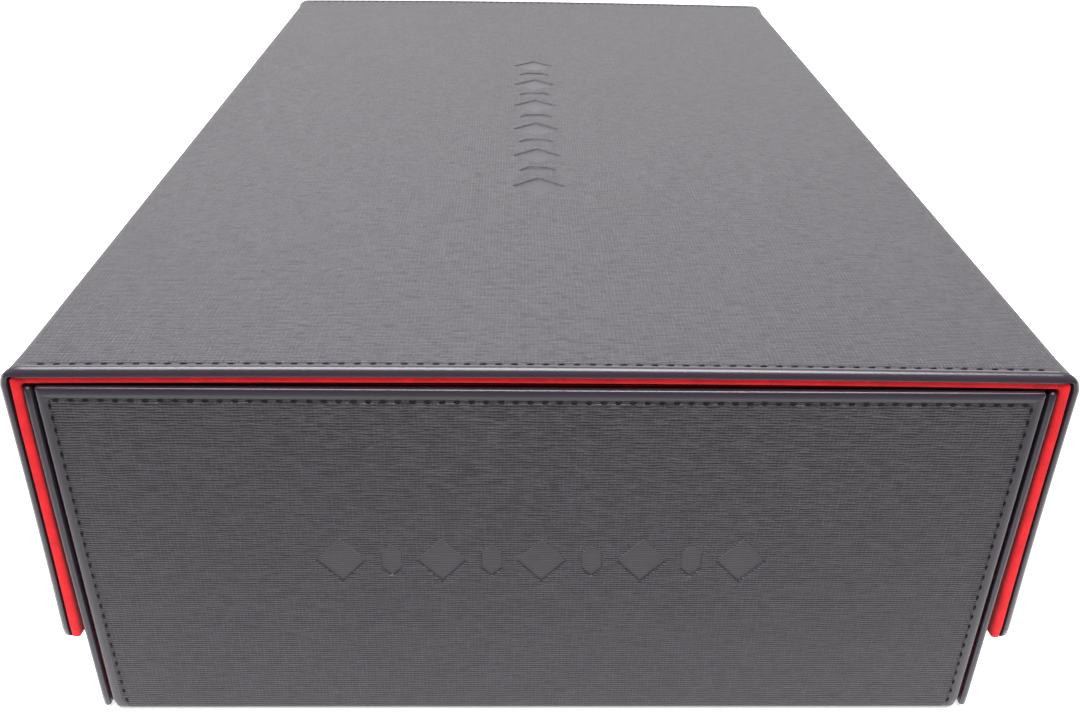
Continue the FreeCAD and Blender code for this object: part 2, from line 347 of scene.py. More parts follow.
def leatherette_material(colours):
    """PU leatherette with a rolled linen emboss: a semi-gloss film whose crossed
    threads catch the light in short streaks, and smooth where heat has pressed it. Its colour
    holds painted light: the raised threads are painted lighter as a painted highlight, the
    valleys darker as painted shade, and the stitch pits nearly black as painted shade."""
    material, tree, shader = new_material(
        "PU leatherette, linen embossed", IOR=1.5, Specular_IOR_Level=0.5
    )
    place = add_node(tree, "ShaderNodeUVMap", {"uv_map": "SheetMM"}).outputs[0]
    pressed = add_node(tree, "ShaderNodeAttribute", {"attribute_name": "pressed"}).outputs["Fac"]
    raised = maths(tree, "SUBTRACT", 1.0, pressed)
    # Weft threads run along the sheet and warp threads cross them. Each thread shows
    # for 4 to 5 mm at a time, where the roller has bitten deeper.
    weft = thread_lines(tree, place, "Y", WEFT_PITCH, 3.0)
    warp = thread_lines(tree, place, "X", WARP_PITCH, 3.0)
    weft_shown = ramp(tree, stretched_noise(tree, place, (0.2, 1.5)), 0.5, 1.0, 0.36, 0.62)
    warp_shown = ramp(tree, stretched_noise(tree, place, (1.2, 0.25)), 0.12, 1.0, 0.4, 0.64)
    crossing = maths(tree, "MULTIPLY", maths(tree, "MULTIPLY", warp, warp_shown), 0.28)
    weave = maths(tree, "MULTIPLY_ADD", maths(tree, "MULTIPLY", weft, weft_shown), 0.72, crossing)
    fine = stretched_noise(tree, place, (3.2, 3.2), detail=1.0)
    weave = maths(tree, "MULTIPLY_ADD", fine, 0.25, weave)
    # Painted light: the colour follows the emboss. It is lighter on the raised crests as a painted
    # highlight and darker in the valleys as painted shade, and smooth pressed parts get a fixed mid
    # tone.
    crests_painted_light = ramp(tree, weave, 0.0, 1.0, 0.26, 0.74)
    ironed = maths(tree, "MULTIPLY", pressed, pressed)
    threads = maths(tree, "MULTIPLY_ADD", crests_painted_light, raised, maths(tree, "MULTIPLY", ironed, 0.66))
    colour = ramp(tree, threads, linear(colours.leather_dark), linear(colours.leather_light))
    # The film's pigment varies slightly over patches some 20 mm wide.
    patches = stretched_noise(tree, place, (0.05, 0.06), detail=3.0)
    shade = ramp(tree, patches, hex_linear("f7f7f8"), hex_linear("ffffff"), 0.3, 0.7)
    tinted = {"data_type": "RGBA", "blend_type": "MULTIPLY", "in:0": 1.0}
    worn = add_node(tree, "ShaderNodeMix", tinted, i6=colour, i7=shade)
    # Painted shade: the pit round each stitch is painted nearly black (060607), standing in for the
    # shade in the needle hole.
    pits = stitch_pits(tree)
    dark = {"data_type": "RGBA", "in:7": hex_linear("060607")}
    pit_painted_shade = add_node(tree, "ShaderNodeMix", dark, i0=pits, i6=worn.outputs[2])
    tree.links.new(pit_painted_shade.outputs[2], shader.inputs["Base Color"])
    rough = ramp(tree, threads, 0.48, 0.38)
    glazed = maths(tree, "MULTIPLY", ironed, ironed)
    rough = maths(tree, "MULTIPLY_ADD", glazed, -0.2, rough)
    rough = maths(tree, "MULTIPLY_ADD", pits, 0.4, rough)
    tree.links.new(rough, shader.inputs["Roughness"])
    # Pores of the film, 0.2 mm across.
    grain = maths(tree, "MULTIPLY", stretched_noise(tree, place, (5.0, 5.0), detail=2.0), 0.08)
    height = maths(tree, "MULTIPLY_ADD", weave, raised, grain)
    height = maths(tree, "MULTIPLY_ADD", pits, -0.12, height)
    bump = add_node(
        tree, "ShaderNodeBump", {"in:Strength": 1.0, "in:Distance": EMBOSS_DEPTH}, Height=height
    )
    tree.links.new(bump.outputs[0], shader.inputs["Normal"])
    return material


def microfibre_material(colours):
    """Red polyester microfibre with a short nap: dull, with a soft light rim."""
    material, tree, shader = new_material(
        "Polyester microfibre, short nap", IOR=1.5, Sheen_Weight=0.15, Sheen_Roughness=0.5,
        Specular_IOR_Level=0.2,
    )
    place = add_node(tree, "ShaderNodeTexCoord").outputs["Object"]
    # The nap's tufts are about 0.3 mm across, and brushing leaves marks 6 mm wide.
    fine, broad = {"in:Scale": 3200.0, "in:Detail": 2.0}, {"in:Scale": 160.0, "in:Detail": 3.0}
    nap = add_node(tree, "ShaderNodeTexNoise", fine, Vector=place)
    brushed = add_node(tree, "ShaderNodeTexNoise", broad, Vector=place)
    red = linear(colours.lining)
    deep = (red[0] * 0.72, red[1] * 0.6, red[2] * 0.6, 1.0)
    tufts = maths(tree, "MULTIPLY", nap.outputs["Fac"], 0.4)
    both = maths(tree, "MULTIPLY_ADD", brushed.outputs["Fac"], 0.6, tufts)
    tree.links.new(ramp(tree, both, deep, red, 0.35, 0.6), shader.inputs["Base Color"])
    tree.links.new(ramp(tree, nap.outputs["Fac"], 0.95, 0.82), shader.inputs["Roughness"])
    relief = {"in:Strength": 0.5, "in:Distance": 0.1 * MM}
    bump = add_node(tree, "ShaderNodeBump", relief, Height=nap.outputs["Fac"])
    tree.links.new(bump.outputs[0], shader.inputs["Normal"])
    return material


def thread_material():
    """Bonded polyester thread, black: nearly matt, with the ply showing as fine flecks."""
    material, tree, shader = new_material(
        "Bonded polyester thread", IOR=1.5, Specular_IOR_Level=0.2
    )
    place = add_node(tree, "ShaderNodeTexCoord").outputs["Object"]
    ply = add_node(tree, "ShaderNodeTexNoise", {"in:Scale": 2500.0, "in:Detail": 1.0}, Vector=place)
    black = ramp(tree, ply.outputs["Fac"], hex_linear("080709"), hex_linear("131114"))
    tree.links.new(black, shader.inputs["Base Color"])
    tree.links.new(ramp(tree, ply.outputs["Fac"], 0.62, 0.5), shader.inputs["Roughness"])
    return material


def speckled_material(name, dark, light, rough, grain_mm, depth_mm, **settings):
    """A surface whose colour and roughness vary a little over grains of one size."""
    material, tree, shader = new_material(name, **settings)
    place = add_node(tree, "ShaderNodeTexCoord").outputs["Object"]
    grain = add_node(
        tree, "ShaderNodeTexNoise", {"in:Scale": 1000.0 / grain_mm, "in:Detail": 3.0}, Vector=place
    ).outputs["Fac"]
    colour = ramp(tree, grain, hex_linear(dark), hex_linear(light), 0.3, 0.7)
    tree.links.new(colour, shader.inputs["Base Color"])
    duller = ramp(tree, grain, rough + 0.06, rough - 0.06, 0.3, 0.7)
    tree.links.new(duller, shader.inputs["Roughness"])
    bump = add_node(
        tree, "ShaderNodeBump", {"in:Strength": 0.4, "in:Distance": depth_mm * MM}, Height=grain
    )
    tree.links.new(bump.outputs[0], shader.inputs["Normal"])
    return material


def material_set(scene):
    """All finishes of the box, made once."""
    colours = scene.deck_box_colours
    names = bpy.data.materials
    if "PU leatherette, linen embossed" not in names:
        leatherette_material(colours)
        microfibre_material(colours)
        thread_material()
        # Paper laminated on board, matt varnished: nearly black with faint fibre.
        speckled_material(
            "Paper on board, matt varnished", "141415", "202022", 0.62, 0.5, 0.03, IOR=1.5
        )
        # Extruded polypropylene sheet with a fine matt grain.
        speckled_material(
            "Polypropylene sheet, fine grain", "161617", "1f1f21", 0.48, 0.3, 0.02, IOR=1.49
        )
        # Nickel plate on magnets: bright, with faint barrel-plating marks.
        speckled_material(
            "Nickel plate, barrel plated", "b4b0a8", "c8c4bc", 0.22, 1.5, 0.01, Metallic=1.0
        )
        # Zinc plate on mild steel: greyer and duller than nickel.
        speckled_material(
            "Zinc plate on steel", "9a9c9f", "b2b4b7", 0.38, 1.0, 0.01, Metallic=1.0
        )
    return {
        "leatherette": names["PU leatherette, linen embossed"],
        "red_microfibre": names["Polyester microfibre, short nap"],
        "thread": names["Bonded polyester thread"],
        "tray_board": names["Paper on board, matt varnished"],
        "divider_plastic": names["Polypropylene sheet, fine grain"],
        "magnet": names["Nickel plate, barrel plated"],
        "steel": names["Zinc plate on steel"],
    }


def finish(obj, slot_name, body=None):
    """Gives a piece the material of its record slot, and the body that it rides on."""
    obj.data.materials.clear()
    obj.data.materials.append(material_set(bpy.context.scene)[slot_name])
    if body:
        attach(obj, body)
    return obj


# ---------------------------------------------------------------- mesh code


def smooth(t):
    """0 below 0, 1 above 1, and a smooth step between them."""
    t = np.clip(t, 0.0, 1.0)
    return t * t * (3 - 2 * t)


def spread(start, end, step):
    """Evenly spaced places from start to end, at most step apart."""
    count = max(1, int(math.ceil((end - start) / step - 1e-6)))
    return list(np.linspace(start, end, count + 1))


def rows(length, radius, step, open_low, open_high, fine=()):
    """Places of the mesh rows along one way of a sheet: close together on the turned
    edges, step apart elsewhere, and with their own step in each fine stretch."""
    arc = [radius * (1 - math.cos(math.radians(a))) for a in EDGE_ANGLES]
    low = 0.0 if open_low else radius
    high = length if open_high else length - radius
    cuts = [(low, high, step)]
    for a, b, own in fine:
        parts = []
        for c, d, s in cuts:
            a2, b2 = max(a, c), min(b, d)
            if b2 <= a2:
                parts.append((c, d, s))
                continue
            parts += [(c, a2, s), (a2, b2, own), (b2, d, s)]
        cuts = parts
    places = set()
    for c, d, s in cuts:
        if d - c > 1e-7:
            places |= {round(p, 8) for p in spread(c, d, s)}
    if not open_low:
        places |= {round(p, 8) for p in arc}
    if not open_high:
        places |= {round(length - p, 8) for p in arc}
    places = sorted(places)
    kept = [places[0]]
    for p in places[1:]:
        if p - kept[-1] > CLOSEST_ROWS:
            kept.append(p)
    kept[-1] = places[-1]
    return np.array(kept)


def round_corners(u, v, size, corner, open_low, open_high):
    """Moves points in the corner squares of a rectangle on to quarter circles."""
    u, v = u.copy(), v.copy()
    for high_u, is_open in ((False, open_low), (True, open_high)):
        if is_open:
            continue
        for high_v in (False, True):
            cu = size[0] - corner if high_u else corner
            cv = size[1] - corner if high_v else corner
            a = (u - cu) if high_u else (cu - u)
            b = (v - cv) if high_v else (cv - v)
            inside = (a > 0) & (b > 0)
            k = np.ones_like(u)
            far = np.hypot(a[inside], b[inside])
            k[inside] = np.maximum(a[inside], b[inside]) / far
            u = np.where(inside, cu + (u - cu) * k, u)
            v = np.where(inside, cv + (v - cv) * k, v)
    return u, v


def face_outwards(mesh):
    """Turns every face of a closed mesh if its volume comes out negative."""
    bm = bmesh.new()
    bm.from_mesh(mesh)
    if bm.calc_volume(signed=True) < 0:
        bmesh.ops.reverse_faces(bm, faces=bm.faces)
        bm.to_mesh(mesh)
        mesh.update()
    bm.free()


def wrapped_sheet(
    name,
    size,
    place,
    thickness,
    radius,
    step,
    corner=None,
    back_radius=0.45 * MM,
    ends_open=(False, False),
    fine_u=(),
    fine_v=(),
    relief=None,
    pressed=None,
    seam=None,
    turn_grain=False,
):
    """A closed mesh of a covered board or a bare sheet.

    u and v run over the sheet, and place(u, v, w) gives XYZ for a point w above its
    outer face. thickness is a number or a function of u. The outer face turns down
    at every edge with the given radius, except at a u end that is open, where the
    sheet carries on in another piece. relief(u, v) is the height of the outer face,
    and pressed(u, v) is 1 where heat has smoothed the grain. seam(u, v, cu, cv) gives
    the place of u, v on the sewn line nearest to cu, cv: stitches along it, and mm
    across it."""
    length, width = size
    corner = radius if corner is None else corner
    thick = thickness if callable(thickness) else (lambda u: np.full_like(u, thickness))
    us = rows(length, radius, step[0], *ends_open, fine_u)
    vs = rows(width, radius, step[1], False, False, fine_v)
    nu, nv = len(us), len(vs)
    flat_u, flat_v = (a.ravel() for a in np.meshgrid(us, vs, indexing="ij"))
    edge = np.minimum(flat_v, width - flat_v)
    if not ends_open[0]:
        edge = np.minimum(edge, flat_u)
    if not ends_open[1]:
        edge = np.minimum(edge, length - flat_u)
    turned_back = np.minimum(back_radius, BACK_SHARE * thick(flat_u))
    local = np.minimum(radius, thick(flat_u) - turned_back - CLOSEST_ROWS)
    short = np.clip(local - edge, 0.0, local)
    w = np.sqrt(np.maximum(local**2 - short**2, 0.0)) - local
    if relief is not None:
        w = w + relief(flat_u, flat_v)
    mu, mv = round_corners(flat_u, flat_v, size, max(corner, radius), *ends_open)
    grid = np.arange(nu * nv).reshape(nu, nv)
    loop = np.concatenate(
        [grid[:, 0], grid[-1, 1:], grid[-2::-1, -1], grid[0, -2:0:-1]]
    )
    loop_u, loop_v = flat_u[loop], flat_v[loop]
    rim = thick(loop_u)
    round_back = np.minimum(back_radius, BACK_SHARE * rim)
    points = [(mu, mv, w)]
    for turn in (0.0, 45.0, 90.0):
        inset = round_back * (1 - math.cos(math.radians(turn)))
        depth = -rim + round_back * (1 - math.sin(math.radians(turn)))
        low_u = 0.0 if ends_open[0] else inset
        high_u = length if ends_open[1] else length - inset
        ru = np.minimum(np.maximum(loop_u, low_u), high_u)
        rv = np.minimum(np.maximum(loop_v, inset), width - inset)
        ru, rv = round_corners(ru, rv, size, max(corner, radius), *ends_open)
        points.append((ru, rv, depth))
    all_u, all_v, all_w = (np.concatenate(parts) for parts in zip(*points))
    xyz = np.stack(place(all_u, all_v, all_w), axis=1)
    n = len(loop)
    faces = []
    for i in range(nu - 1):
        for j in range(nv - 1):
            faces.append((grid[i, j], grid[i + 1, j], grid[i + 1, j + 1], grid[i, j + 1]))
    rings = [loop] + [nu * nv + k * n + np.arange(n) for k in range(3)]
    for upper, lower in zip(rings[:-1], rings[1:]):
        for k in range(n):
            m = (k + 1) % n
            faces.append((upper[m], upper[k], lower[k], lower[m]))
    last = rings[-1]
    low = last[:nu]
    high = last[nu + nv - 2 : 2 * nu + nv - 2][::-1]
    for i in range(1, nu - 2):
        faces.append((low[i], high[i], high[i + 1], low[i + 1]))
    start = [low[1], low[0], *last[2 * nu + nv - 2 :][::-1], high[0], high[1]]
    faces.append(tuple(start))
    end = [low[nu - 2], high[nu - 2], high[nu - 1], *last[nu : nu + nv - 2][::-1], low[nu - 1]]
    faces.append(tuple(end))
    mesh = bpy.data.meshes.new(name)
    mesh.from_pydata(xyz.tolist(), [], [tuple(int(q) for q in f) for f in faces])
    mesh.validate()
    mesh.polygons.foreach_set("use_smooth", [True] * len(mesh.polygons))
    mesh.set_sharp_from_angle(angle=math.radians(60))
    layer = mesh.uv_layers.new(name="SheetMM")
    corners = np.empty(len(mesh.loops), np.int32)
    mesh.loops.foreach_get("vertex_index", corners)
    sheet = np.stack([all_v, all_u] if turn_grain else [all_u, all_v], axis=1) / MM
    layer.data.foreach_set("uv", sheet[corners].astype(np.float32).ravel())
    mark = mesh.attributes.new("pressed", "FLOAT", "POINT")
    amount = np.zeros(len(all_u)) if pressed is None else pressed(all_u, all_v)
    mark.data.foreach_set("value", np.asarray(amount, np.float32))
    sewn = np.full((len(corners), 2), FAR_FROM_SEAM)
    if seam is not None:
        counts = np.empty(len(mesh.polygons), np.int32)
        mesh.polygons.foreach_get("loop_total", counts)
        owner = np.repeat(np.arange(len(counts)), counts)
        cu = np.bincount(owner, all_u[corners]) / counts
        cv = np.bincount(owner, all_v[corners]) / counts
        sewn = np.stack(seam(all_u[corners], all_v[corners], cu[owner], cv[owner]), axis=1)
    layer = mesh.uv_layers.new(name="Seam")
    layer.data.foreach_set("uv", sewn.astype(np.float32).ravel())
    mesh.update()
    face_outwards(mesh)
    obj = bpy.data.objects.new(name, mesh)
    bpy.context.scene.collection.objects.link(obj)
    return obj


def bent_path(points, radii, step=0.4 * MM):
    """A flat line of straight runs with rounded corners. Returns its length and a
    function that gives the place and the left-hand normal at a distance along it."""
    points = [np.array(p, float) for p in points]
    line = [points[0]]
    for before, here, after, radius in zip(points, points[1:], points[2:], radii):
        a = (before - here) / np.linalg.norm(before - here)
        b = (after - here) / np.linalg.norm(after - here)
        half = math.acos(np.clip(a @ b, -1, 1)) / 2
        reach = radius / math.tan(half)
        centre = here + (a + b) / np.linalg.norm(a + b) * radius / math.sin(half)
        p, q = here + a * reach - centre, here + b * reach - centre
        angle = math.acos(np.clip(p @ q / radius**2, -1, 1))
        count = max(6, int(radius * angle / step))
        for k in range(count + 1):
            t = k / count
            mixed = (math.sin((1 - t) * angle) * p + math.sin(t * angle) * q) / math.sin(angle)
            line.append(centre + mixed)
    line.append(points[-1])
    line = np.array(line)
    run = np.concatenate([[0], np.cumsum(np.linalg.norm(np.diff(line, axis=0), axis=1))])
    keep = np.concatenate([[True], np.diff(run) > 1e-9])
    line, run = line[keep], run[keep]
    ways = np.gradient(line, run, axis=0)
    ways /= np.linalg.norm(ways, axis=1)[:, None]

    def at(s):
        x, y = np.interp(s, run, line[:, 0]), np.interp(s, run, line[:, 1])
        dx, dy = np.interp(s, run, ways[:, 0]), np.interp(s, run, ways[:, 1])
        size = np.hypot(dx, dy)
        return x, y, -dy / size, dx / size

    return float(run[-1]), at


def diamond_inside(u, v, half_u, half_v):
    """Distance inside a lozenge's outline, negative outside it."""
    reach = half_u * half_v / math.hypot(half_u, half_v)
    return (1 - np.abs(u) / half_u - np.abs(v) / half_v) * reach


def bar_inside(u, v, half_u, half_v):
    """Distance inside the outline of an upright bar with pointed ends, negative outside it."""
    pointed = (half_v - np.abs(v) - np.abs(u)) / math.sqrt(2)
    return np.minimum(half_u - np.abs(u), pointed)


def ornament(u, v, length, height, count):
    """1 inside the pressed ornament and 0 outside: a row of count marks, lozenges in
    turn with upright bars."""
    pitch = length / count
    nearest = np.clip(np.floor((u + length / 2) / pitch), 0, count - 1)
    own = u + length / 2 - (nearest + 0.5) * pitch
    lozenge = diamond_inside(own, v, pitch / 2, height / 2)
    bar = bar_inside(own, v, MARK_BAR_WIDTH * pitch / 2, MARK_BAR_HEIGHT * height / 2)
    inside = np.where(nearest % 2 == 0, lozenge, bar)
    return smooth(inside / MARK_SLOPE + 0.5)


def seam_channel(along, across, start, end):
    """Depth of the shallow channel that a sewn line pulls down, from 0 to 1."""
    inside = (along >= start) & (along <= end)
    return np.exp(-((across / CHANNEL_WIDTH) ** 2)) * inside


def stitches(name, runs, width):
    """One mesh of separate stitches. Each run is a list of (centre, way, normal, length)."""
    ring, around = 7, 8
    profile = [max(0.12, math.sin(math.pi * k / (ring - 1)) ** 0.45) for k in range(ring - 1)]
    profile.append(profile[0])
    vertices, faces = [], []
    for centre, way, normal, length in runs:
        centre, way, normal = Vector(centre), Vector(way).normalized(), Vector(normal).normalized()
        across = way.cross(normal)
        first = len(vertices)
        for k in range(ring):
            t = k / (ring - 1) * 2 - 1
            arch = -0.35 * width * t * t
            for m in range(around):
                angle = 2 * math.pi * m / around
                p = centre + way * (t * length / 2) + normal * arch
                p += across * (math.cos(angle) * width / 2 * profile[k])
                p += normal * (math.sin(angle) * width / 2 * profile[k])
                vertices.append(p[:])
        for k in range(ring - 1):
            for m in range(around):
                a, b = first + k * around + m, first + k * around + (m + 1) % around
                faces.append((a, a + around, b + around, b))
        faces.append(tuple(range(first, first + around)))
        faces.append(tuple(reversed(range(first + (ring - 1) * around, first + ring * around))))
    mesh = bpy.data.meshes.new(name)
    mesh.from_pydata(vertices, [], faces)
    mesh.polygons.foreach_set("use_smooth", [True] * len(mesh.polygons))
    obj = bpy.data.objects.new(name, mesh)
    bpy.context.scene.collection.objects.link(obj)
    return obj


# ---------------------------------------------------------------- lid

# The bow's share left in the middle of the lid, and how fast it fades from the edges.
BOW_INSIDE = 0.35
BOW_FADE = 45 * MM
# How far the ends of a fold stand out, and over what length.
FLARE_DEPTH = 0.9 * MM
FLARE_REACH = 15 * MM


def lid_lift(x, y, sizes):
    """How far the lid's boards stand above their flat place: most at the middle of the
    front and rear edges, where nothing holds them down."""
    across = np.clip(1 - (x / FOLD_X) ** 2, 0, 1)
    to_edge = np.minimum(y - FRONT, REAR - y)
    along = BOW_INSIDE + (1 - BOW_INSIDE) * np.exp(-to_edge / BOW_FADE)
    return sizes.lid_bow * across * along


def padded_roll(rim):
    """Height of the low roll that the padding makes beside a seam, at rim from the edge."""
    return ROLL_HEIGHT * np.exp(-(((rim - ROLL_PLACE) / ROLL_WIDTH) ** 2))


LID_SEAM = 3.2 * MM
LINING_SET_BACK = 0.6 * MM
# How far the lining's point reaches into the leatherette's bend, from the bend's centre.
FOLD_POINT = 3.8 * MM
LID_SEAM_DEPTH = 0.22 * MM
# Length of a stitch as a share of its pitch, and how deep its middle lies.
LID_STITCH_SHARE = 0.52
LID_STITCH_SINK = 0.1 * MM
LID_MARK_LENGTH = 163 * MM
LID_MARK_WIDTH = 17 * MM
LID_MARK_Y = -5.5 * MM
LID_MARK_COUNT = 11


def lid_stitch_places(sizes):
    """Where the lid's rows of stitches start along X, and how many stitches they have."""
    count = int((2 * FOLD_X - 4 * MM) / sizes.lid_pitch)
    start = -count * sizes.lid_pitch / 2
    return start, count


class DECKBOX_OT_lid_top(bpy.types.Operator):
    """Covered top board of the lid, with its pressed ornament and seam channels"""

    bl_idname = "deck_box.lid_top"
    bl_label = "Lid top"

    def execute(self, context):
        sizes = context.scene.deck_box_sizes
        start, count = lid_stitch_places(sizes)
        end = start + count * sizes.lid_pitch
        width = REAR - FRONT

        def place(u, v, w):
            x, y = u - FOLD_X, FRONT + v
            return x, y, LID_TOP + w + lid_lift(x, y, sizes)

        def marked(u, v):
            return ornament(
                FRONT + v - LID_MARK_Y, u - FOLD_X, LID_MARK_LENGTH, LID_MARK_WIDTH, LID_MARK_COUNT
            )

        def relief(u, v):
            rim = np.minimum(v, width - v)
            channel = LID_SEAM_DEPTH * seam_channel(u - FOLD_X, rim - LID_SEAM, start, end)
            return padded_roll(rim) - sizes.press_depth * marked(u, v) - channel

        def pressed(u, v):
            rim = np.minimum(v, width - v)
            margin = 1 - smooth((rim - sizes.margin + 0.3 * MM) / (0.8 * MM))
            return np.clip(MARK_IRONED * marked(u, v) + margin, 0, 1)

        def seam(u, v, cu, cv):
            rim = np.where(cv < width / 2, v, width - v) - LID_SEAM
            outside = (cu - FOLD_X < start) | (cu - FOLD_X > end)
            along = (u - FOLD_X - start) / sizes.lid_pitch - 0.5
            return along, np.where(outside, FAR_FROM_SEAM, rim / MM)

        mark_half = LID_MARK_WIDTH / 2 + MARK_RIM
        mark_v = LID_MARK_Y - LID_MARK_LENGTH / 2 - FRONT - MARK_RIM
        obj = wrapped_sheet(
            "lid_top_leatherette",
            (2 * FOLD_X, width),
            place,
            LID_TOP - LID_MID,
            sizes.lid_edge_radius,
            (3 * MM, 3 * MM),
            back_radius=0.2 * MM,
            ends_open=(True, True),
            fine_u=[(FOLD_X - mark_half, FOLD_X + mark_half, LID_MARK_STEP)],
            fine_v=[
                (1.2 * MM, 4.6 * MM, SEAM_STEP),
                (mark_v, mark_v + LID_MARK_LENGTH + 2 * MARK_RIM, LID_MARK_STEP),
                (width - 4.6 * MM, width - 1.2 * MM, SEAM_STEP),
            ],
            relief=relief,
            pressed=pressed,
            seam=seam,
        )
        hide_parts("lid_top_cover", "lid_top_board")
        finish(obj, "leatherette", "lid")
        return {"FINISHED"}


class DECKBOX_OT_lid_seams(bpy.types.Operator):
    """Separate stitches along the lid's front and rear edges"""

    bl_idname = "deck_box.lid_seams"
    bl_label = "Lid seams"

    def execute(self, context):
        sizes = context.scene.deck_box_sizes
        start, count = lid_stitch_places(sizes)
        draw = np.random.default_rng(11)
        runs = []
        for sign, edge in ((1, FRONT), (-1, REAR)):
            y = edge + sign * LID_SEAM
            for k in range(count):
                x = start + (k + 0.5) * sizes.lid_pitch
                lift = float(lid_lift(np.array(x), np.array(y), sizes))
                z = LID_TOP + lift - LID_STITCH_SINK
                slant = 0.09 + 0.04 * draw.standard_normal()
                length = sizes.lid_pitch * (LID_STITCH_SHARE + 0.03 * draw.standard_normal())
                way = (math.cos(slant), math.sin(slant), 0)
                runs.append(((x, y, z), way, (0, 0, 1), length))
        obj = stitches("lid_seam_stitches", runs, sizes.thread_width)
        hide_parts("lid_stitching")
        finish(obj, "thread", "lid")
        return {"FINISHED"}


class DECKBOX_OT_lid_lining(bpy.types.Operator):
    """Red lining under the lid's top board"""

    bl_idname = "deck_box.lid_lining"
    bl_label = "Lid lining"

    def execute(self, context):
        sizes = context.scene.deck_box_sizes

        def place(u, v, w):
            x, y = FOLD_X - u, (FRONT + v) * (1 - LINING_SET_BACK / REAR)
            return x, y, LID_UNDER - w + lid_lift(x, y, sizes)

        obj = wrapped_sheet(
            "lid_top_lining",
            (2 * FOLD_X, REAR - FRONT),
            place,
            LID_MID - LID_UNDER - LINING_GAP,
            sizes.lining_radius,
            (6 * MM, 8 * MM),
            back_radius=0.12 * MM,
            ends_open=(True, True),
        )
        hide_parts("lid_lining", "lid_liner_board")
        finish(obj, "red_microfibre", "lid")
        return {"FINISHED"}


def corner_flare(v):
    """How far the doubled leatherette at the ends of a fold stands out."""
    rim = np.minimum(v, REAR - FRONT - v)
    return FLARE_DEPTH * np.clip(1 - rim / FLARE_REACH, 0, 1) ** 2


class DECKBOX_OT_lid_flaps(bpy.types.Operator):
    """Both side flaps of the lid: leatherette from the top board round the corner and
    down, and the lining inside it"""

    bl_idname = "deck_box.lid_flaps"
    bl_label = "Lid flaps"

    def execute(self, context):
        sizes = context.scene.deck_box_sizes
        outer_radius = LID_TOP - FOLD_Z
        inner_radius = LID_UNDER - FOLD_Z
        arc = outer_radius * math.pi / 2
        for name, sign in (("left", -1), ("right", 1)):
            length, outer = bent_path(
                [(FOLD_X, LID_TOP), (FLAP_OUT, LID_TOP), (FLAP_OUT, FLAP_FOOT)], [outer_radius]
            )

            def board(u):
                # Thinner round the bend, down to the lining's point.
                turn = np.clip(u / arc, 0, 1) * math.pi / 2
                inside = (LID_MID - FOLD_Z) / np.maximum(np.cos(turn), np.sin(turn))
                return outer_radius - np.minimum(inside, FOLD_POINT)

            def place(u, v, w, path=outer, sign=sign, length=length):
                x, z, nx, nz = path(u)
                down = np.clip((u - arc) / (length - arc), 0, 1)
                out = w + corner_flare(v) * smooth(u / arc) + sizes.flap_flare * down**2
                return sign * (x + nx * out), FRONT + v, z + nz * out

            def relief(u, v):
                return padded_roll(np.minimum(v, REAR - FRONT - v))

            def pressed(u, v, length=length):
                rim = np.minimum(np.minimum(v, REAR - FRONT - v), length - u)
                return 1 - smooth((rim - 1.2 * MM) / (1.0 * MM))

            obj = wrapped_sheet(
                f"{name}_flap_leatherette",
                (length, REAR - FRONT),
                place,
                board,
                sizes.lid_edge_radius,
                (2.5 * MM, 3 * MM),
                corner=3.0 * MM,
                back_radius=0.2 * MM,
                ends_open=(True, False),
                fine_u=[(0, arc + 1.5 * MM, 0.45 * MM)],
                fine_v=[(1 * MM, 16 * MM, 1.2 * MM)],
                relief=relief,
                pressed=pressed,
            )
            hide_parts(f"{name}_flap_cover", f"{name}_flap_board", f"lid_fold_{name}")
            finish(obj, "leatherette")
            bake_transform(obj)

            inner_length, inner = bent_path(
                [(FOLD_X, LID_UNDER), (FLAP_IN, LID_UNDER), (FLAP_IN, FLAP_FOOT)], [inner_radius]
            )
            inner_arc = inner_radius * math.pi / 2
            thick = LID_MID - LID_UNDER - LINING_GAP

            def stuffed(u):
                # Spare cloth fills the fold out to a point.
                turn = np.clip(u / inner_arc, 0, 1) * math.pi / 2
                reach = (inner_radius + thick) / np.maximum(np.cos(turn), np.sin(turn))
                return np.minimum(reach, FOLD_POINT - 0.05 * MM) - inner_radius

            def inner_place(u, v, w, path=inner, sign=sign, length=inner_length):
                x, z, nx, nz = path(u)
                down = np.clip((u - inner_arc) / (length - inner_arc), 0, 1)
                flare = 0.3 * corner_flare(v) * smooth((u - inner_arc) / (12 * MM))
                out = -w + flare + sizes.flap_flare * down**2
                set_back = LINING_SET_BACK * (1 - smooth(u / inner_arc))
                return sign * (x + nx * out), (FRONT + v) * (1 - set_back / REAR), z + nz * out

            obj = wrapped_sheet(
                f"{name}_flap_lining_cloth",
                (inner_length, REAR - FRONT),
                inner_place,
                stuffed,
                sizes.lining_radius,
                (5 * MM, 6 * MM),
                corner=2.5 * MM,
                back_radius=0.12 * MM,
                ends_open=(True, False),
                fine_u=[(0, inner_arc + 1 * MM, 0.2 * MM)],
            )
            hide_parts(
                f"{name}_flap_lining", f"{name}_flap_liner_board", f"lid_lining_fold_{name}"
            )
            finish(obj, "red_microfibre")
            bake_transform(obj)
        return {"FINISHED"}


# ---------------------------------------------------------------- drop front

PANEL_SEAM_SIDE = 2.8 * MM
PANEL_SEAM_TOP = 3.4 * MM
PANEL_SEAM_DEPTH = 0.18 * MM
PANEL_STITCH_SHARE = 0.48
PANEL_STITCH_SINK = 0.08 * MM
PANEL_MARK_LENGTH = 117 * MM
PANEL_MARK_HEIGHT = 14 * MM
PANEL_MARK_Z = 55 * MM
PANEL_MARK_COUNT = 9
# The fold at the foot: how much narrower it is and up to what height, its thickness
# without board, and the height over which the board begins.
FOLD_TAPER = 1.6 * MM
TAPER_HEIGHT = 5 * MM
FOLD_SKIN = 0.5 * MM
BOARD_START = 2.4 * MM
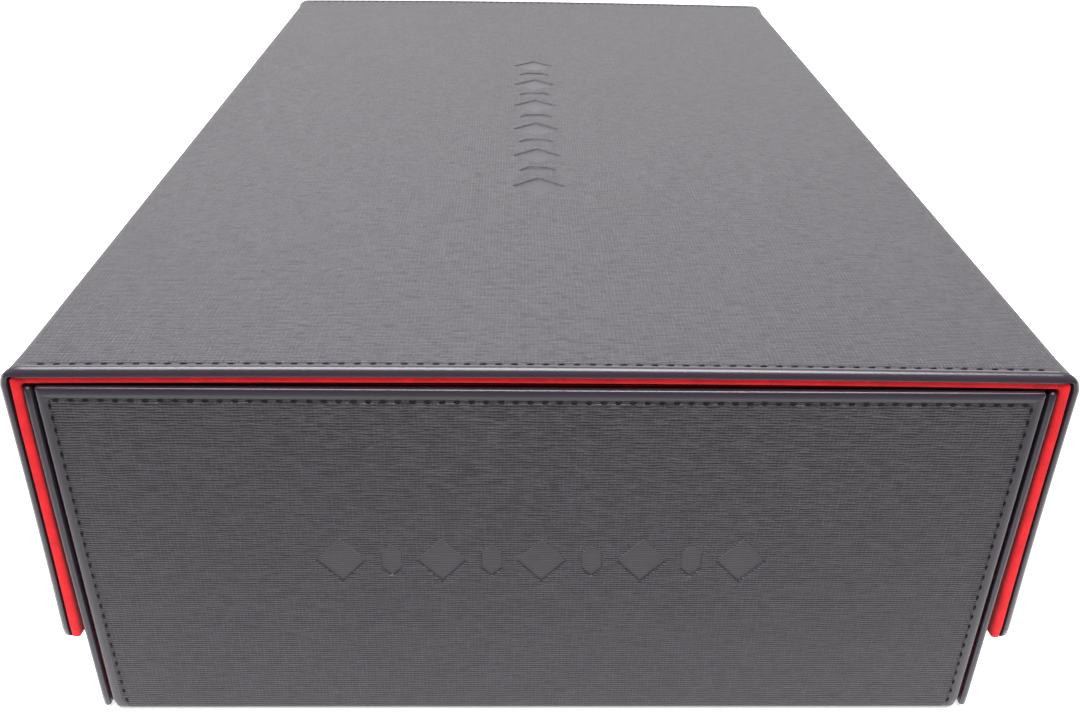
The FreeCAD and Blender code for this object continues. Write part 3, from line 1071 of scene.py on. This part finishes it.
# How far the left seam runs in at its foot.
SEAM_DRIFT = 1.2 * MM


def panel_seams(sizes):
    """The sewn lines: half the distance between the side ones, the height of the top
    one and its pitch, and the stitches across the top and up each side."""
    half = PANEL_HALF - PANEL_SEAM_SIDE
    top = PANEL_TOP - PANEL_SEAM_TOP
    across = round(2 * half / sizes.panel_pitch)
    up = int((top - PANEL_FOOT) / sizes.panel_pitch)
    return half, top, 2 * half / across, across, up


def seam_half(sign, z, half, top):
    """Distance of a side seam from the middle. The left one drifts in towards the foot."""
    return half - SEAM_DRIFT * (sign < 0) * np.clip(1 - z / top, 0, 1) ** 2


def panel_taper(z):
    """The panel narrows a little where it rolls into the fold at its foot."""
    return FOLD_TAPER * (1 - smooth(z / TAPER_HEIGHT))


class DECKBOX_OT_front_panel(bpy.types.Operator):
    """Covered board of the drop front, rolling under at its foot to hinge on the base"""

    bl_idname = "deck_box.front_panel"
    bl_label = "Front panel"

    def execute(self, context):
        sizes = context.scene.deck_box_sizes
        half, top, pitch, across, up = panel_seams(sizes)
        fold = PANEL_FOOT
        length, path = bent_path(
            [(BASE_FRONT, 0), (FRONT, 0), (FRONT, PANEL_TOP)], [fold]
        )
        rise = length - PANEL_TOP
        foot_end = top - up * sizes.panel_pitch

        def board(u):
            full = PANEL_MID - FRONT
            return FOLD_SKIN + (full - FOLD_SKIN) * smooth((u - rise - fold) / BOARD_START)

        def place(u, v, w):
            y, z, ny, nz = path(u)
            x = v - PANEL_HALF
            squeeze = 1 - panel_taper(z) / PANEL_HALF
            return x * squeeze, y + ny * w, np.maximum(z + nz * w, 0)

        def marked(u, v):
            x, z = v - PANEL_HALF, u - rise - PANEL_MARK_Z
            return ornament(x, z, PANEL_MARK_LENGTH, PANEL_MARK_HEIGHT, PANEL_MARK_COUNT)

        def relief(u, v):
            x, z = v - PANEL_HALF, u - rise
            channel = seam_channel(x, z - top, -half, half)
            side_x = np.abs(x) - seam_half(np.sign(x), z, half, top)
            channel = np.maximum(channel, seam_channel(z, side_x, foot_end, top))
            edge = np.minimum(PANEL_HALF - np.abs(x), PANEL_TOP - z)
            roll = padded_roll(edge) * smooth(z / (6 * MM))
            return roll - sizes.press_depth * marked(u, v) - PANEL_SEAM_DEPTH * channel

        def pressed(u, v):
            x, z = v - PANEL_HALF, u - rise
            edge = np.minimum(PANEL_HALF - np.abs(x), PANEL_TOP - z)
            margin = 1 - smooth((edge - sizes.margin + 0.2 * MM) / (0.8 * MM))
            foot = 1 - smooth((z - 0.5 * MM) / (3 * MM))
            return np.clip(MARK_IRONED * marked(u, v) + margin + 0.7 * foot, 0, 1)

        def seam(u, v, cu, cv):
            x, z = v - PANEL_HALF, u - rise
            cx, cz = cv - PANEL_HALF, cu - rise
            side_x = np.abs(x) - seam_half(np.sign(cx), z, half, top)
            on_side = np.abs(cx) > half - (top - cz)
            along = np.where(on_side, (top - z) / sizes.panel_pitch, (x + half) / pitch) - 0.5
            across = np.where(on_side, side_x, z - top)
            past = (cz < foot_end) | (cz > top + 2 * MM) & on_side
            return along, np.where(past, FAR_FROM_SEAM, across / MM)

        mark = PANEL_MARK_HEIGHT / 2 + MARK_RIM
        mark_v = PANEL_HALF - PANEL_MARK_LENGTH / 2 - MARK_RIM
        obj = wrapped_sheet(
            "front_panel_leatherette",
            (length, 2 * PANEL_HALF),
            place,
            board,
            sizes.panel_edge_radius,
            (2.5 * MM, 2.5 * MM),
            back_radius=0.3 * MM,
            ends_open=(True, False),
            fine_u=[
                (0, rise + fold, 0.4 * MM),
                (rise + PANEL_MARK_Z - mark, rise + PANEL_MARK_Z + mark, PANEL_MARK_STEP),
                (length - 5.2 * MM, length - 1.6 * MM, SEAM_STEP),
            ],
            fine_v=[
                (1.6 * MM, 5.4 * MM, SEAM_STEP),
                (mark_v, mark_v + PANEL_MARK_LENGTH + 2 * MARK_RIM, PANEL_MARK_STEP),
                (2 * PANEL_HALF - 5.4 * MM, 2 * PANEL_HALF - 1.6 * MM, SEAM_STEP),
            ],
            relief=relief,
            pressed=pressed,
            seam=seam,
            turn_grain=True,
        )
        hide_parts("front_flap_cover", "front_flap_board", "front_hinge_fold")
        finish(obj, "leatherette")
        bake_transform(obj)
        return {"FINISHED"}


class DECKBOX_OT_front_seams(bpy.types.Operator):
    """Separate stitches along the top and sides of the drop front"""

    bl_idname = "deck_box.front_seams"
    bl_label = "Front seams"

    def execute(self, context):
        sizes = context.scene.deck_box_sizes
        half, top, pitch, across, up = panel_seams(sizes)
        draw = np.random.default_rng(7)
        y = FRONT + PANEL_STITCH_SINK
        out = (0, -1, 0)
        runs = []
        for k in range(across):
            slant = 0.05 + 0.02 * draw.standard_normal()
            x = -half + (k + 0.5) * pitch
            way = (math.cos(slant), 0, math.sin(slant))
            runs.append(((x, y, top), way, out, pitch * PANEL_STITCH_SHARE))
        for sign in (-1, 1):
            for k in range(up):
                slant = 0.06 + 0.02 * draw.standard_normal()
                z = top - (k + 0.5) * sizes.panel_pitch
                x = sign * seam_half(sign, z, half, top) * (1 - panel_taper(z) / PANEL_HALF)
                way = (math.sin(slant), 0, math.cos(slant))
                runs.append(((x, y, z), way, out, sizes.panel_pitch * PANEL_STITCH_SHARE))
        obj = stitches("front_seam_stitches", runs, sizes.thread_width)
        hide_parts("front_flap_stitching")
        finish(obj, "thread", "front_flap")
        return {"FINISHED"}


class DECKBOX_OT_front_lining(bpy.types.Operator):
    """Red lining on the inner face of the drop front"""

    bl_idname = "deck_box.front_lining"
    bl_label = "Front lining"

    def execute(self, context):
        def place(u, v, w):
            return u - PANEL_HALF, PANEL_BACK + w, PANEL_FOOT + v

        obj = wrapped_sheet(
            "front_panel_lining",
            (2 * PANEL_HALF, PANEL_TOP - PANEL_FOOT),
            place,
            PANEL_BACK - PANEL_MID,
            0.3 * MM,
            (6 * MM, 6 * MM),
            corner=1.0 * MM,
            back_radius=0.1 * MM,
        )
        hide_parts("front_flap_lining")
        finish(obj, "red_microfibre", "front_flap")
        return {"FINISHED"}


# ---------------------------------------------------------------- body

# Radius of the leatherette and of the lining where they turn at the rear corners.
WALL_BEND = 2.3 * MM
LINING_BEND = 0.8 * MM
# How far the left wall bulges at the front, and how fast that fades towards the rear.
BELLY = 0.25 * MM
BELLY_REACH = 90 * MM


class DECKBOX_OT_walls(bpy.types.Operator):
    """Covered side and rear walls, and the lining inside them"""

    bl_idname = "deck_box.walls"
    bl_label = "Walls"

    def execute(self, context):
        length, outer = bent_path(
            [(WALL_OUT, FRONT), (WALL_OUT, REAR), (-WALL_OUT, REAR), (-WALL_OUT, FRONT)],
            [WALL_BEND, WALL_BEND],
        )
        height = WALL_TOP - WALL_FOOT
        depth, near = REAR - FRONT, 4 * MM

        def place(u, v, w):
            x, y, nx, ny = outer(u)
            # The board of the left wall has a slight belly between floor and rim.
            near_front = np.exp(-(y - FRONT) / BELLY_REACH) * (x < 0)
            belly = BELLY * near_front * np.sin(math.pi * np.clip(v / height, 0, 1))
            return x - nx * (w + belly), y - ny * (w + belly), WALL_FOOT + v

        def pressed(u, v):
            rim = np.minimum(np.minimum(v, height - v), np.minimum(u, length - u))
            return 1 - smooth((rim - 1.2 * MM) / MM)

        obj = wrapped_sheet(
            "wall_leatherette",
            (length, height),
            place,
            WALL_OUT - WALL_IN,
            1.15 * MM,
            (4 * MM, 4 * MM),
            corner=1.8 * MM,
            back_radius=1.1 * MM,
            fine_u=[
                (depth - near, depth + near, 0.5 * MM),
                (length - depth - near, length - depth + near, 0.5 * MM),
            ],
            pressed=pressed,
        )
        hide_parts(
            "left_wall_cover", "right_wall_cover", "back_cover",
            "left_wall_board", "right_wall_board", "back_board",
        )
        finish(obj, "leatherette", "box_body")

        front, rear = LINER_FRONT, LINER_REAR
        inner_length, inner = bent_path(
            [(LINER_IN, front), (LINER_IN, rear), (-LINER_IN, rear), (-LINER_IN, front)],
            [LINING_BEND, LINING_BEND],
        )
        depth, near = rear - front, 3 * MM

        def inner_place(u, v, w):
            x, y, nx, ny = inner(u)
            return x + nx * w, y + ny * w, FLOOR_TOP + v

        obj = wrapped_sheet(
            "wall_lining_cloth",
            (inner_length, WALL_TOP - FLOOR_TOP),
            inner_place,
            WALL_IN - LINER_IN,
            0.6 * MM,
            (6 * MM, 6 * MM),
            corner=0.8 * MM,
            fine_u=[
                (depth - near, depth + near, 0.3 * MM),
                (inner_length - depth - near, inner_length - depth + near, 0.3 * MM),
            ],
        )
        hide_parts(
            "left_wall_lining", "right_wall_lining", "back_lining",
            "left_liner_board", "right_liner_board", "back_liner_board",
        )
        finish(obj, "red_microfibre", "box_body")
        return {"FINISHED"}


class DECKBOX_OT_base(bpy.types.Operator):
    """Covered base board and the lining on the floor"""

    bl_idname = "deck_box.base"
    bl_label = "Base"

    def execute(self, context):
        def under(u, v, w):
            return u - WALL_IN, BASE_FRONT + v, -w

        obj = wrapped_sheet(
            "base_leatherette",
            (2 * WALL_IN, BACK_IN - BASE_FRONT),
            under,
            side("base_board", 1, "z"),
            0.6 * MM,
            (8 * MM, 8 * MM),
        )
        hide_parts("base_cover", "base_board")
        finish(obj, "leatherette", "box_body")

        def floor(u, v, w):
            return u - WALL_IN, BASE_FRONT + v, FLOOR_TOP + w

        obj = wrapped_sheet(
            "floor_lining_cloth",
            (2 * WALL_IN, BACK_IN - BASE_FRONT),
            floor,
            FLOOR_TOP - side("base_board", 1, "z"),
            0.25 * MM,
            (8 * MM, 8 * MM),
            back_radius=0.1 * MM,
        )
        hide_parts("floor_lining")
        finish(obj, "red_microfibre", "box_body")
        return {"FINISHED"}


# ---------------------------------------------------------------- inside

LANES = ("left", "middle", "right")
TRAY_EDGE = 0.5 * MM
HARD_EDGE = 0.15 * MM


def bevelled(obj, width, segments=2):
    """Rounds the edges of a hard piece."""
    bevel = obj.modifiers.new("Rounded edges", "BEVEL")
    bevel.width = width
    bevel.segments = segments
    bevel.limit_method = "ANGLE"
    return obj


class DECKBOX_OT_trays(bpy.types.Operator):
    """Three open trays of paper-covered board"""

    bl_idname = "deck_box.trays"
    bl_label = "Trays"

    def execute(self, context):
        for lane in LANES:
            low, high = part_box(f"tray_{lane}_boards")
            pad_low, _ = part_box(f"tray_{lane}_pad")
            wall = pad_low.x - low.x
            bm = bmesh.new()
            bmesh.ops.create_cube(bm, size=1.0)
            bmesh.ops.scale(bm, vec=high - low, verts=bm.verts)
            bmesh.ops.translate(bm, vec=(high + low) / 2, verts=bm.verts)
            top = max(bm.faces, key=lambda f: f.calc_center_median().z)
            bmesh.ops.inset_region(bm, faces=[top], thickness=wall, use_even_offset=True)
            result = bmesh.ops.extrude_face_region(bm, geom=[top])
            moved = [g for g in result["geom"] if isinstance(g, bmesh.types.BMVert)]
            bmesh.ops.translate(bm, vec=(0, 0, pad_low.z - high.z), verts=moved)
            bmesh.ops.delete(bm, geom=[top], context="FACES_ONLY")
            bmesh.ops.recalc_face_normals(bm, faces=bm.faces)
            mesh = bpy.data.meshes.new(f"tray_{lane}_shell")
            bm.to_mesh(mesh)
            bm.free()
            obj = bpy.data.objects.new(f"tray_{lane}_shell", mesh)
            context.scene.collection.objects.link(obj)
            bevelled(obj, TRAY_EDGE, 3)
            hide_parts(f"tray_{lane}_boards")
            finish(obj, "tray_board", f"tray_{lane}")
        return {"FINISHED"}


class DECKBOX_OT_fittings(bpy.types.Operator):
    """Finishes for the tray pads, dividers, magnets and steel, whose CAD shape is right"""

    bl_idname = "deck_box.fittings"
    bl_label = "Fittings"

    def execute(self, context):
        finishes = {row["node"]: row["material_slot"] for row in frame["record"]["subparts"]}
        for name, obj in frame["nodes"].items():
            if obj.hide_render:
                continue
            finish(obj, finishes[name])
            bevelled(obj, HARD_EDGE)
        return {"FINISHED"}


# ---------------------------------------------------------------- stage


FLOOR_REACH = 6.0
FLOOR_DROP = 0.2 * MM
# Painted shade: the floor is painted grey over this length in front of the box. Painted light: it
# glows from here to here along Y, from the lid's front edge, though it is no lamp.
FLOOR_FADE = 0.3
GLOW_FROM = -0.07
GLOW_TO = 0.02
PAINTED_GLOW = 0.8
# Strength of the room's light in front of the box and behind it.
ROOM_FRONT = 0.08
ROOM_BEHIND = 2.0
# Name, place, aim, size and power of each lamp.
LAMPS = (
    ("softbox_above", (-0.05, -0.36, 1.5), (0.0, -0.2, 0.1), (1.8, 0.5), 42.0),
    ("softbox_front", (-0.1, -0.62, 1.2), (0.0, -0.2, 0.1), (1.1, 0.22), 10.0),
)
# The camera, in mm of lens and sensor, degrees, and metres from the lid's front edge.
LENS = 36.16
SENSOR = 36.0
CAMERA_PITCH = 29.92
CAMERA_TURN = -1.428
CAMERA_ROLL = 1.076
CAMERA_PLACE = (-0.0069, -0.2179, 0.2419)


def studio_floor(scene):
    """A sheet of paper, white and glowing behind and under the box as painted light, and painted
    grey in front as painted shade.
    """
    mesh = bpy.data.meshes.new("studio_floor")
    r = FLOOR_REACH
    mesh.from_pydata([(-r, -r, 0), (r, -r, 0), (r, r, 0), (-r, r, 0)], [], [(0, 1, 2, 3)])
    floor = bpy.data.objects.new("studio_floor", mesh)
    floor.location.z = -FLOOR_DROP
    scene.collection.objects.link(floor)
    # Uncoated paper: quite matt, with no sheen of its own.
    material, tree, shader = new_material("White paper floor, painted shade and glow", IOR=1.5, Roughness=0.9)
    ahead = add_node(tree, "ShaderNodeTexCoord").outputs["Object"]
    ahead = add_node(tree, "ShaderNodeSeparateXYZ", Vector=ahead).outputs["Y"]
    # Painted shade: the paper is painted from grey, some way in front of the box, up to white at
    # the lid's front edge.
    paper = ramp(
        tree, ahead, hex_linear("707070"), hex_linear("f0f0f0"), FRONT - FLOOR_FADE, FRONT
    )
    tree.links.new(paper, shader.inputs["Base Color"])
    # Painted light: the floor glows from just in front of the box to behind it, though it is no
    # lamp.
    painted_glow = ramp(tree, ahead, 0.0, PAINTED_GLOW, FRONT + GLOW_FROM, FRONT + GLOW_TO)
    tree.links.new(painted_glow, shader.inputs["Emission Strength"])
    shader.inputs["Emission Color"].default_value = hex_linear("ffffff")
    floor.data.materials.append(material)


def studio_room(scene):
    """A white wall behind the box, and a dimmer room in front of it."""
    world = bpy.data.worlds.new("Studio")
    world.use_nodes = True
    tree = world.node_tree
    background = tree.nodes["Background"]
    background.inputs["Color"].default_value = hex_linear("ffffff")
    way = add_node(tree, "ShaderNodeTexCoord").outputs["Generated"]
    parts = add_node(tree, "ShaderNodeSeparateXYZ", Vector=way)
    behind = ramp(tree, parts.outputs["Y"], ROOM_FRONT, ROOM_BEHIND, -0.2, 0.9)
    tree.links.new(behind, background.inputs["Strength"])
    scene.world = world
    scene.view_settings.view_transform = "Standard"


def studio_lamps(scene):
    """Softboxes, hidden from the camera."""
    for name, place, target, size, power in LAMPS:
        light = bpy.data.lights.new(name, "AREA")
        light.shape = "RECTANGLE"
        light.size, light.size_y = size
        light.energy = power
        lamp = bpy.data.objects.new(name, light)
        lamp.location = place
        aim = Vector(target) - Vector(place)
        lamp.rotation_euler = aim.to_track_quat("-Z", "Y").to_euler()
        lamp.visible_camera = False
        scene.collection.objects.link(lamp)


def studio_camera(scene):
    """The camera, turned by its three angles and rolled about its own line of sight."""
    camera_data = bpy.data.cameras.new("camera")
    camera_data.sensor_width = SENSOR
    camera_data.lens = LENS
    camera_data.clip_start = 0.01
    camera = bpy.data.objects.new("camera", camera_data)
    pitch, turn, roll = (math.radians(a) for a in (CAMERA_PITCH, CAMERA_TURN, CAMERA_ROLL))
    level = math.cos(pitch)
    ahead = Vector((-math.sin(turn) * level, math.cos(turn) * level, -math.sin(pitch)))
    right = Vector((math.cos(turn), math.sin(turn), 0))
    up = right.cross(ahead)
    rolled_right = right * math.cos(roll) + up * math.sin(roll)
    rolled_up = up * math.cos(roll) - right * math.sin(roll)
    turned = Matrix((rolled_right, rolled_up, -ahead)).transposed().to_4x4()
    turned.translation = Vector(CAMERA_PLACE) + Vector((0, FRONT, 0))
    camera.matrix_world = turned
    scene.collection.objects.link(camera)
    scene.camera = camera


class DECKBOX_OT_stage(bpy.types.Operator):
    """Floor, soft studio light and the camera"""

    bl_idname = "deck_box.stage"
    bl_label = "Stage"

    def execute(self, context):
        scene = context.scene
        studio_floor(scene)
        studio_room(scene)
        studio_lamps(scene)
        studio_camera(scene)
        return {"FINISHED"}


OPERATORS = (
    DECKBOX_OT_lid_top,
    DECKBOX_OT_lid_seams,
    DECKBOX_OT_lid_lining,
    DECKBOX_OT_lid_flaps,
    DECKBOX_OT_front_panel,
    DECKBOX_OT_front_seams,
    DECKBOX_OT_front_lining,
    DECKBOX_OT_walls,
    DECKBOX_OT_base,
    DECKBOX_OT_trays,
    DECKBOX_OT_fittings,
    DECKBOX_OT_stage,
)


class DECKBOX_PT_panel(bpy.types.Panel):
    """Sizes, colours and one button for each group of pieces"""

    bl_idname = "DECKBOX_PT_panel"
    bl_label = "Card deck box"
    bl_space_type = "VIEW_3D"
    bl_region_type = "UI"
    bl_category = "Deck Box"

    def draw(self, context):
        for group in (context.scene.deck_box_sizes, context.scene.deck_box_colours):
            for name in group.bl_rna.properties.keys():
                if name not in ("rna_type", "name"):
                    self.layout.prop(group, name)
        for operator in OPERATORS:
            self.layout.operator(operator.bl_idname)


CLASSES = (DeckBoxSizes, DeckBoxColours, *OPERATORS, DECKBOX_PT_panel)


def register():
    for item in CLASSES:
        bpy.utils.register_class(item)
    bpy.types.Scene.deck_box_sizes = PointerProperty(type=DeckBoxSizes)
    bpy.types.Scene.deck_box_colours = PointerProperty(type=DeckBoxColours)


def unregister():
    del bpy.types.Scene.deck_box_colours
    del bpy.types.Scene.deck_box_sizes
    for item in reversed(CLASSES):
        bpy.utils.unregister_class(item)


def main():
    register()
    for operator in OPERATORS:
        group, name = operator.bl_idname.split(".")
        getattr(getattr(bpy.ops, group), name)()


if __name__ == "__main__":
    main()
